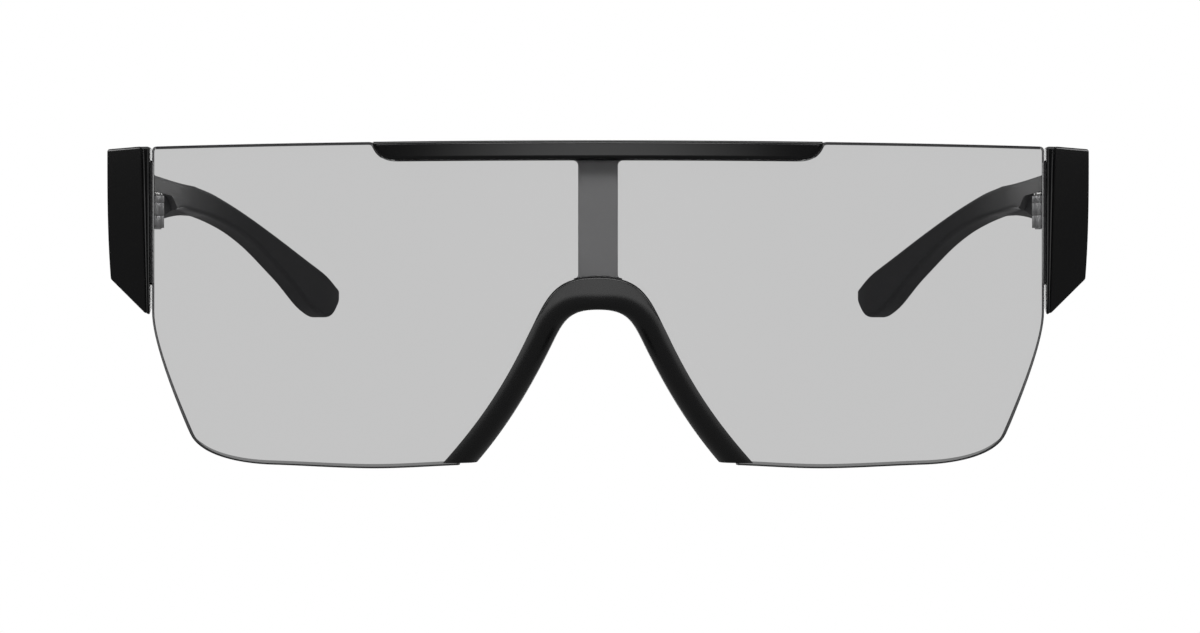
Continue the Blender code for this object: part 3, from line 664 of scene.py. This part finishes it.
def inset(outline, widths):
    """An outline moved inwards by its own width at each point."""
    moved = []
    for index, point in enumerate(outline):
        before = (point - outline[index - 1]).normalized()
        after = (outline[(index + 1) % len(outline)] - point).normalized()
        inwards = Vector((before.y + after.y, -before.x - after.x)) / (1 + before.dot(after))
        moved.append(point + inwards * widths[index])
    return moved


def edge_share(point):
    """How much of the broad polish the lens's edge has at a point: all of it below, none at the sides."""
    return min(1, max(0, (polish_top_z - point.y) / (polish_top_z - polish_full_z)))


def squared(point, depth):
    """A point of the lens's edge with its place behind the front moved outwards, towards the lens's sides.

    So the lens's side walls run straight back there instead of along the lens's radius.
    """
    share = min(1, max(0, (abs(point.x) - square_start_x) / (lens_half_width - square_start_x)))
    return Vector((point.x * (1 + share * depth / (lens_radius - depth)), point.y))


def make_lens():
    """The lens: a see-through face, a polished slope round it and near-black walls, which are painted shade.
    Its top slope has the painted shade too.
    """
    polished_slot, edge_shade_slot = 1, 2
    outline = lens_outline()
    shares = [edge_share(point) for point in outline]
    rims = [rim_width + (low_rim_width - rim_width) * share for share in shares]
    top = [point.y > bar_bottom_z + bar_end_drop and abs(point.x) < lens_edge_x - lens_top_corner / 2
           for point in outline]
    polish = [edge_width + (polish_width - edge_width) * share for share in shares]
    for index, point in enumerate(outline):
        if top[index]:
            share = max(0, 1 - (lens_height - point.y) / notch_flare)
            polish[index] = notch_edge_width + (top_edge_width - notch_edge_width) * share
    bm = bmesh.new()
    loops = (
        (inset(outline, [wide + rim for wide, rim in zip(polish, rims)]), [0] * len(outline)),
        (inset(outline, rims), [wide * polish_slope_share for wide in polish]),
        (outline, [wide * polish_slope_share + rim for wide, rim in zip(polish, rims)]),
        (outline, [lens_thickness - rim_width] * len(outline)),
        (inset(outline, [rim_width] * len(outline)), [lens_thickness] * len(outline)))
    rows = []
    for loop, depths in loops:
        moved = [squared(point, depth) for point, depth in zip(loop, depths)]
        rows.append([bm.verts.new((point.x, depth, point.y)) for point, depth in zip(moved, depths)])
    count = len(outline)
    for level, (row, after) in enumerate(zip(rows, rows[1:])):
        for index in range(count):
            turn = (index + 1) % count
            face = bm.faces.new((row[index], row[turn], after[turn], after[index]))
            # The walls, and the top slope along the bar and the lens's top, get the painted shade.
            face.material_index = edge_shade_slot if (top[index] and top[turn]) or level else polished_slot
    bm.faces.new(rows[0])
    bm.faces.new(rows[-1])
    for side in (-1, 1):
        for face in add_loft(bm, tab_ends(side)):
            face.material_index = polished_slot
    lens = shape("lens_fine", bend(bm, lens_slice))
    dress(lens, "shield_lens", smoke, polished_edge, lens_edge_shade, smooth_angle=12.0)


def tab_ends(side):
    """The two ends of a tab, which is a little thinner than the lens that it leaves."""
    corners = rectangle(tab_step, lens_thickness - tab_step, tab_bottom_z, tab_top_z)
    root = [squared(Vector(((lens_edge_x - tab_overlap) * side, z)), depth) for depth, z in corners]
    tip_x = (lens_half_width + tab_length) * side
    return [[Vector((point.x, depth, z)) for point, (depth, z) in zip(root, corners)],
            [Vector((tip_x, depth, z)) for depth, z in corners]]


def make_brow_bar():
    """The bent bar in the lens's notch, with rounded long edges."""
    half = bar_end(0, 0)
    half += [Vector((bar_half_length, lens_height)), Vector((0, lens_height))]
    bar = shape("brow_bar_fine", plate(mirrored(half), -bar_proud, bar_depth - bar_proud, bar_bevel))
    dress(bar, "brow_bar", gloss_black)


def make_strut():
    """The strut ties the brow bar to the nose bridge, close behind the lens."""
    top_z = bar_bottom_z - close_gap
    wide = strut_half_width + strut_flare
    half = [Vector((point.x, point.y + close_gap)) for point in bridge_edge() if point.x < wide]
    end_z = half[-1].y
    foot = Vector((wide, end_z))
    half.append(foot)
    sideways = Vector((strut_flare / 2, 0))
    up = Vector((0, strut_flare / 2))
    low_turn = Vector((strut_half_width, end_z + strut_flare))
    half += bezier(foot, -sideways, up, low_turn, turn_steps)
    high_turn = Vector((strut_half_width, top_z - strut_flare))
    head = Vector((wide, top_z))
    half.append(high_turn)
    half += bezier(high_turn, up, sideways, head, turn_steps)
    half.append(Vector((0, top_z)))
    front = lens_thickness + seat_gap
    strut = shape("centre_strut_fine", plate(mirrored(half), front, front + strut_thickness, strut_bevel))
    dress(strut, "centre_strut", strut_grey)


def bridge_section(width, flat_share, fall_share, arc_steps=9):
    """Distances in from the outer edge, with depths behind the lens's front. The groove holds the lens.

    The face is flat for a share of the width and then rolls away towards the arch. The small edges
    take every third point of the arc.
    """
    back = bridge_depth - bridge_proud
    rear_wall = lens_thickness + seat_gap
    floor = groove_depth + seat_gap
    fall = (back + bridge_proud - bridge_roll) * fall_share
    roll = width * (1 - flat_share)
    arc = quarter_arc(arc_steps)
    section = [(floor, -seat_gap), (floor, rear_wall), (0, rear_wall)]
    section += [(bridge_bevel * near, back - bridge_bevel * far) for near, far in arc[::3]]
    section += [(width - bridge_roll * far, back - bridge_roll * near) for near, far in arc]
    section += [(width - roll * near, fall * far - bridge_proud) for near, far in arc]
    section += [(bridge_bevel * near, bridge_bevel * far - bridge_proud) for near, far in arc[::-3]]
    return section + [(0, -seat_gap)]


def make_nose_bridge():
    """The bridge. The solid's sockets for the pads' pegs are left out here, because the pads hide them."""
    outer = bridge_edge()
    inner = arch_edge()
    pairs = [(Vector((-o.x, o.y)), Vector((-i.x, i.y))) for o, i in zip(outer[:0:-1], inner[:0:-1])]
    rings = []
    for edge, arch in pairs + list(zip(outer, inner)):
        sideways = (arch - edge).normalized()
        level = max(0, -sideways.y) ** 2
        fall_share = leg_fall_share + (crown_fall_share - leg_fall_share) * level
        section = bridge_section((arch - edge).length, crown_flat_share * level, fall_share)
        flat = [(edge + sideways * distance, offset) for distance, offset in section]
        rings.append([wrap(point.x, point.y, offset) for point, offset in flat])
    bridge = shape("nose_bridge_fine", loft(rings))
    dress(bridge, "nose_bridge", satin_black)


def pad_line(place):
    """A point on the middle of the right-hand leg, at a share of the way from crown to foot."""
    outer = bridge_edge()
    inner = arch_edge()
    distance = place * (len(outer) - 1)
    index = min(int(distance), len(outer) - 2)
    near = (outer[index] + inner[index]) / 2
    far = (outer[index + 1] + inner[index + 1]) / 2
    return near.lerp(far, distance - index)


def pad_peg_place():
    """Where the pad's peg leaves the back of the bridge."""
    middle = pad_line((pad_top_share + pad_bottom_share) / 2)
    return wrap(middle.x, middle.y, bridge_depth - bridge_proud)


def make_nose_pad(side, label, steps=28):
    """A soft pad behind the leg, with rounded edges and a peg that plugs into it."""
    rows = []
    for step in range(steps + 1):
        share = step / steps
        place = pad_top_share + (pad_bottom_share - pad_top_share) * share
        ahead = pad_line(place + pad_step_share) - pad_line(place - pad_step_share)
        normal = Vector((-ahead.y, ahead.x)).normalized()
        half = pad_width / 2 * math.sqrt(1 - (2 * share - 1) ** 4 * pad_end_share)
        rows.append((pad_line(place), normal * half))
    outline = [middle + arm for middle, arm in rows] + [middle - arm for middle, arm in reversed(rows)]
    centre = sum(outline, Vector((0, 0))) / len(outline)
    out = (rows[0][1] + rows[-1][1]).normalized()
    out *= 1 if out.x > 0 else -1
    seat = [wrap(point.x, point.y, bridge_depth - bridge_proud + seat_gap) for point in outline]
    profile = [(0, 0)] + [(pad_reach - pad_round * far, pad_face_inset_share * near)
                          for near, far in quarter_arc(turn_steps)]
    rings = []
    for reach, drawn_in in profile:
        moved = [point.lerp(centre, drawn_in) + out * pad_splay * reach / pad_reach for point in outline]
        rings.append([Vector((point.x, base.y + reach, point.y)) for point, base in zip(moved, seat)])
    pad = shape("nose_pad_fine_" + label, loft(rings), side)
    peg = ((-seat_gap * 2, pad_peg_radius), (pad_peg_length, pad_peg_radius))
    boolean(pad, turned(peg, pad_peg_place(), Vector((0, -1, 0))), side, "UNION")
    dress(pad, "nose_pad_" + label, soft_black)


# The end blocks and hinges

def slant_z(x, depth):
    """The height of the slanted lower face that runs from the block on to the temple."""
    back = math.tan(math.radians(block_toe_slope_back)) * (depth - lens_side_depth)
    return block_toe_z + back + math.tan(math.radians(block_toe_slope_out)) * (x - block_inner_x)


def lean(z):
    """How far the outer side draws in towards its lower edge."""
    return side_lean * max(0, (block_top_z - z) / (block_top_z - block_toe_z)) ** 3


def block_plan(share):
    """The corners of the block's outline in plan, at a share of the way down. Its ledge comes first."""
    ledge_depth = lens_side_depth - block_ledge_cover
    corner_depth = block_split_depth - block_corner_setback
    face_x = block_edge_x + block_ledge_width * (1 - share) + block_ledge_toe_width * share
    low_z = slant_z(half_width, corner_depth)
    outer_x = half_width - lean(block_top_z + (low_z - block_top_z) * share)
    ledge_step = block_ledge_step * (1 - share * ledge_fade_share)
    return ((block_edge_x, ledge_depth), (face_x, ledge_depth + block_ledge_slant),
            (face_x, ledge_depth - ledge_step), (outer_x, corner_depth),
            (outer_x, block_split_depth), (block_inner_x + block_inner_lean, block_split_depth),
            (block_edge_x, lens_side_depth + lens_thickness + seat_gap))


def make_end_block(side, label, levels=10):
    """A tall block with a slot for the lens's tab and a pocket for the hinge."""
    rings = []
    for level in range(levels + 1):
        share = level / levels
        rings.append([Vector((x, front_y + depth, block_top_z + (slant_z(x, depth) - block_top_z) * share))
                      for x, depth in block_plan(share)])
    block = shape("end_block_fine_" + label, round_edges(loft(rings), block_bevel), side)
    tab = rectangle(block_inner_x - overrun, lens_half_width + tab_length + seat_gap,
                    tab_bottom_z - seat_gap, tab_top_z + seat_gap)
    boolean(block, plate(tab, -seat_gap, lens_thickness + seat_gap), side)
    pocket = box((block_inner_x - overrun, pocket_x),
                 (hinge_axis_depth - front_leaf_length - seat_gap, block_split_depth + overrun),
                 (hinge_bottom_z - seat_gap, hinge_top_z + pin_head_height + seat_gap))
    boolean(block, pocket, side)
    dress(block, "end_block_" + label, block_black)


def leaf_outline(length, way, steps=48):
    """A hinge leaf in plan: a plate rolled into a barrel. The plate runs back or forward, way 1 or -1."""
    middle = Vector((hinge_axis_x, hinge_axis_depth))
    inner_side = knuckle_radius - leaf_thickness
    start = math.pi / 2
    end = math.tau + math.asin(inner_side / knuckle_radius)
    outline = [Vector((length, knuckle_radius))]
    for step in range(steps + 1):
        angle = start + (end - start) * step / steps
        outline.append(Vector((math.cos(angle), math.sin(angle))) * knuckle_radius)
    outline.append(Vector((length, inner_side)))
    return [middle + Vector((point.y, point.x * way)) for point in outline]


def leaf_side(length, way):
    """The leaf's outline from the side, round at its free end."""
    barrel = hinge_axis_depth - way * knuckle_radius * 2
    end = hinge_axis_depth + way * length
    corners = rectangle(barrel, end, hinge_bottom_z, hinge_top_z)
    return soften(corners, (0, leaf_corner, leaf_corner, 0), leaf_corner_steps)


def on_axis(z):
    """The point of the hinge's axis at a height."""
    return Vector((hinge_axis_x, front_y + hinge_axis_depth, z))


def knuckle_space(index):
    """The round space that clears another leaf's knuckle, counted from the bottom."""
    bottom = hinge_bottom_z + sum(knuckle_heights[:index]) + knuckle_gap * (index - 1)
    top = bottom + knuckle_heights[index] + knuckle_gap * 2
    if index == 0:
        bottom -= overrun
    if index == len(knuckle_heights) - 1:
        top += overrun
    reach = knuckle_radius + swing_gap
    return turned(((0, reach), (top - bottom, reach)), on_axis(bottom), upwards)


def make_leaf(name, length, way, cleared, side, label):
    """A leaf with its knuckles, cleared where the other leaf's knuckles stand."""
    leaf = shape(name + "_fine_" + label, prism(leaf_outline(length, way), hinge_bottom_z, hinge_top_z), side)
    reach = knuckle_radius * 2
    kept = across(leaf_side(length, way), hinge_axis_x - reach, hinge_axis_x + reach)
    boolean(leaf, kept, side, "INTERSECT")
    for index in cleared:
        boolean(leaf, knuckle_space(index), side)
    bore = pin_radius + running_gap
    ends = ((-overrun, bore), (hinge_height + overrun, bore))
    boolean(leaf, turned(ends, on_axis(hinge_bottom_z), upwards), side)
    bevel(leaf, leaf_edge, leaf_edge_segments)
    dress(leaf, name + "_" + label, hinge_metal)


def domed(start, height, radius, steps=6):
    """The profile of a screw's head: a short straight side under a low dome."""
    edge = start + height * head_edge_share
    rise = height * (1 - head_edge_share)
    dome = [(edge + rise * (1 - far), radius * (1 - near)) for near, far in quarter_arc(steps)[:-1]]
    return [(start, radius)] + dome + [(start + height, radius * head_tip_share)]


def make_screw(node, start, head, shank, reach, centre, direction, side):
    """A screw with a domed, slotted head. Its shank runs the other way from its head."""
    height, radius = head
    profile = [(start - reach, shank), (start, shank)] + domed(start, height, radius)
    screw = shape(node + "_fine", turned(profile, centre, direction), side)
    top = centre + direction * (start + height)
    arm = Vector((0, 1, 0))
    depth = height * slot_depth_share
    corners = [top + arm * out * radius * 2 + direction * deep
               for out, deep in rectangle(-1, 1, -depth, depth)]
    thick = direction.cross(arm) * slot_width / 2
    boolean(screw, loft([[corner + thick * way for corner in corners] for way in (-1, 1)]), side)
    dress(screw, node, screw_steel)


def make_screws(side, label):
    """The screw that a hinge turns on, and the three that fasten its leaves."""
    make_screw("hinge_screw_" + label, knuckle_gap, (pin_head_height, pin_head_radius), pin_radius,
               hinge_height + knuckle_gap, on_axis(hinge_top_z), upwards, side)
    places = [("front_leaf_screw_" + label, -front_screw_place)]
    places += [("rear_leaf_screw_" + part + "_" + label, place)
               for part, place in zip(("near", "far"), rear_screw_places)]
    for node, place in places:
        centre = Vector((leaf_inner_x - knuckle_gap / 2, front_y + hinge_axis_depth + place, hinge_middle_z))
        make_screw(node, 0, (screw_head_height, screw_head_radius), screw_radius, screw_length,
                   centre, Vector((-1, 0, 0)), side)


# The temples

def temple_section(place):
    """The temple's cross-section at a share of its length, outer top corner first, with its corner cuts."""
    inner = temple_inner_x - temple_sweep * along(sweep_shares, place)
    thickness = temple_thickness * along(thickness_shares, place)
    outer = inner + thickness
    top = block_top_z - temple_drop * along(drop_shares, place)
    toe_z = slant_z(half_width, split_depth)
    bottom = toe_z + (temple_waist_z - toe_z) * along(rise_shares, place)
    bottom -= temple_tail_drop * along(tail_shares, place)
    shoulder_top = min(top, temple_shoulder_top_z)
    shoulder_low = temple_shoulder_toe_z + temple_shoulder_rise * along(shoulder_shares, place)
    shoulder_bottom = max(bottom, shoulder_low) if place < shoulder_end_share else bottom
    web = inner + thickness * temple_web_share
    step = thickness * temple_step_share
    middle = bottom + (top - bottom) * lean_middle_share
    fade = max(0, 1 - place / lean_end_share)
    corners = [Vector((outer, top)), Vector((outer - lean(middle) * fade, middle)),
               Vector((outer - lean(bottom) * fade, bottom)), Vector((web + step, bottom)),
               Vector((web - step, shoulder_bottom)), Vector((inner, shoulder_bottom)),
               Vector((inner, shoulder_top)), Vector((web - step, shoulder_top)), Vector((web + step, top))]
    inner_corner = temple_corner * temple_inner_corner_share
    cuts = (temple_corner, 0, temple_corner, 0, 0, inner_corner, inner_corner, 0, 0)
    return soften(corners, cuts, turn_steps)


def tip_shrink(beyond, length):
    """How much of a section is left so far into a round end of this length."""
    return math.sqrt(max(0, 1 - (max(0, beyond) / length) ** 2))


def make_temple(side, label, stations=110, turns=20):
    """A temple with a rounded tip, and with a recess for the rear leaf whose floor is painted darker and
    duller as shade.
    """
    recess_shade_slot = 1
    round_share = temple_tip_round / temple_length
    places = [(1 - round_share) * step / stations for step in range(stations)]
    places += [1 - round_share + round_share * math.sin(math.pi / 2 * turn / turns) for turn in range(turns)]
    places.append(1 - round_share * tip_end_share)
    rings = []
    for place in places:
        section = temple_section(place)
        middle = sum(section, Vector((0, 0))) / len(section)
        left = temple_length * (1 - place)
        height = tip_shrink(temple_tip_round - left, temple_tip_round)
        width = tip_shrink(temple_tip_edge - left, temple_tip_edge)
        y = front_y + split_depth + temple_length * place
        arms = [point - middle for point in section]
        rings.append([Vector((middle.x + arm.x * width, y, middle.y + arm.y * height)) for arm in arms])
    for point in rings[-1]:
        point.y = front_y + split_depth + temple_length
    temple = shape("temple_fine_" + label, loft(rings), side)
    boolean(temple, leaf_recess(), side)
    dress(temple, "temple_arm_" + label, temple_black, recess_painted_shade)
    # The recess's floor gets the painted shade.
    for face in temple.data.polygons:
        if abs(abs(face.center.x) - pocket_x) < plane_tolerance:
            face.material_index = recess_shade_slot


def leaf_recess():
    """The open recess in the temple's inner side, whose roof runs down to the temple's waist."""
    low = slant_z(block_inner_x, split_depth)
    high = hinge_top_z + pin_head_height + seat_gap
    recess_end = split_depth + recess_length
    mouth = split_depth - overrun
    roof_end = Vector((recess_end, high))
    waist = Vector((recess_end + recess_run, temple_shoulder_toe_z))
    outline = [Vector((mouth, low)), Vector((mouth, high)), roof_end]
    reach = recess_run / 2
    outline += bezier(roof_end, Vector((reach / 2, 0)), Vector((reach, 0)), waist)
    outline.append(Vector((waist.x, low)))
    return across(outline, hinge_axis_x - overrun, pocket_x)


# The studio

camera_distance = 510.0 * MM
camera_right = 0.3 * MM
camera_drop = 26.2 * MM
camera_nearest = 5.1 * MM
photo_width = 1200
pixel_size = 0.1487 * MM
sensor = 36.0
floor_drop = 250.0 * MM
floor_radius = 1600.0 * MM
floor_sides = 96
floor_fade_start = 500.0 * MM
floor_fade_end = 1440.0 * MM
floor_roughness = 0.9
floor_colour = (0.22, 0.22, 0.22, 1)
floor_glow = 0.8
white = (1, 1, 1, 1)

# The studio's strength by degrees from the middle of the backdrop, which is behind the glasses.
# The camera's side is at 180 degrees. The first two shades go to the stops that a ramp starts with.
studio_shades = ((0, 2.8), (180, 2.5), (10, 0.75), (18, 0.14), (30, 0.08), (44, 0.07), (67, 0.08),
                 (90, 0.08), (140, 0.05), (153, 0.1), (163, 1.3), (171, 2.3))

# Lamps: name, place, size, radiance. Those of the second table stand on both sides.
middle_lamps = (
    ("top_softbox", (0, 0.1, 1.1), (1.2, 0.5), 3.0),
    ("high_softbox", (0, -1.1, 1.05), (1.0, 0.5), 7.0))
side_lamps = (
    ("key_softbox_", (0.9, -0.9, 0.75), (0.6, 0.5), 5.0),
    ("rim_softbox_", (0.95, 0.64, 0.36), (0.45, 0.3), 2.6))


def make_camera():
    """The camera, level and straight in front of the glasses."""
    data = bpy.data.cameras.new("camera")
    data.sensor_width = sensor
    data.lens = sensor * camera_distance / (photo_width * pixel_size)
    data.clip_start = camera_nearest
    camera = bpy.data.objects.new("camera", data)
    camera.location = (camera_right, front_y - camera_distance, lens_height - camera_drop)
    camera.rotation_euler = (math.radians(90), 0, 0)
    bpy.context.scene.collection.objects.link(camera)
    bpy.context.scene.camera = camera


def make_softbox(name, place, size, radiance):
    """A soft lamp that looks at the object from its place."""
    data = bpy.data.lights.new(name, "AREA")
    data.shape = "RECTANGLE"
    data.size, data.size_y = size
    data.energy = radiance * math.pi * size[0] * size[1]
    lamp = bpy.data.objects.new(name, data)
    lamp.location = place
    lamp.rotation_euler = (-Vector(place)).to_track_quat("-Z", "Y").to_euler()
    lamp.visible_camera = False
    bpy.context.scene.collection.objects.link(lamp)


def make_world():
    """A dim studio with a white backdrop behind the glasses. Where it is seen itself, it is plain white."""
    world = bpy.data.worlds.new("studio")
    world.use_nodes = True
    bpy.context.scene.world = world
    tree = world.node_tree
    add_node = node_adder(tree)
    place = add_node("ShaderNodeTexCoord").outputs["Generated"]
    split = add_node("ShaderNodeSeparateXYZ", {"Vector": place})
    turn = add_node("ShaderNodeMath", {0: split.outputs["Y"]}, operation="ARCCOSINE")
    share = add_node("ShaderNodeMapRange", {"Value": turn.outputs["Value"], "From Max": math.pi})
    shade = add_node("ShaderNodeValToRGB", {"Fac": share.outputs["Result"]})
    stops = shade.color_ramp.elements
    for index, (degrees, strength) in enumerate(studio_shades):
        stop = stops[index] if index < 2 else stops.new(degrees / 180)
        stop.position = degrees / 180
        stop.color = (strength, strength, strength, 1)
    shade.color_ramp.interpolation = "EASE"
    studio = tree.nodes["Background"]
    studio.inputs["Color"].default_value = white
    tree.links.new(shade.outputs["Color"], studio.inputs["Strength"])
    backdrop = add_node("ShaderNodeBackground", {"Color": white})
    seen = add_node("ShaderNodeLightPath").outputs["Is Camera Ray"]
    mix = add_node("ShaderNodeMixShader", {
        0: seen, 1: studio.outputs["Background"], 2: backdrop.outputs["Background"]})
    tree.links.new(mix.outputs["Shader"], tree.nodes["World Output"].inputs["Surface"])


def make_floor():
    """A plain pale floor well below the glasses. Towards its rim it turns into the white of the studio."""
    material, shader, add_node, links = new_material("pale_floor")
    shader.inputs["Roughness"].default_value = floor_roughness
    shader.inputs["Base Color"].default_value = floor_colour
    shader.inputs["Emission Color"].default_value = white
    place = add_node("ShaderNodeTexCoord").outputs["Object"]
    length = add_node("ShaderNodeVectorMath", {0: place}, operation="LENGTH")
    fade = add_node("ShaderNodeMapRange", {
        "Value": length.outputs["Value"], "From Min": floor_fade_start, "From Max": floor_fade_end},
        interpolation_type="SMOOTHSTEP")
    seen = add_node("ShaderNodeLightPath").outputs["Is Camera Ray"]
    glow = add_node("ShaderNodeMath", {0: seen, 1: floor_glow}, operation="MULTIPLY")
    links.new(glow.outputs["Value"], shader.inputs["Emission Strength"])
    share = add_node("ShaderNodeMath", {0: fade.outputs["Result"], 1: seen}, operation="MULTIPLY")
    rim = add_node("ShaderNodeEmission")
    mix = add_node("ShaderNodeMixShader", {
        0: share.outputs["Value"], 1: shader.outputs["BSDF"], 2: rim.outputs["Emission"]})
    links.new(mix.outputs["Shader"], material.node_tree.nodes["Material Output"].inputs["Surface"])
    bm = bmesh.new()
    bmesh.ops.create_circle(bm, cap_ends=True, segments=floor_sides, radius=floor_radius)
    mesh = bpy.data.meshes.new("floor")
    bm.to_mesh(mesh)
    bm.free()
    mesh.materials.append(material)
    floor = bpy.data.objects.new("floor", mesh)
    floor.location = (0, 0, -floor_drop)
    bpy.context.scene.collection.objects.link(floor)


def make_studio():
    """The camera, the studio round it, the floor and the lamps."""
    bpy.context.scene.view_settings.view_transform = "Standard"
    make_camera()
    make_world()
    make_floor()
    for name, place, size, radiance in middle_lamps:
        make_softbox(name, place, size, radiance)
    for side, label in both_sides:
        for name, (out, back, high), size, radiance in side_lamps:
            make_softbox(name + label, (side * out, back, high), size, radiance)


def main():
    """Makes the pieces and the studio."""
    make_lens()
    make_brow_bar()
    make_strut()
    make_nose_bridge()
    for side, label in both_sides:
        make_nose_pad(side, label)
        make_end_block(side, label)
        make_leaf("hinge_front_leaf", front_leaf_length, -1, (1,), side, label)
        make_leaf("hinge_rear_leaf", rear_leaf_length, 1, (0, 2), side, label)
        make_screws(side, label)
        make_temple(side, label)
    make_studio()


main()
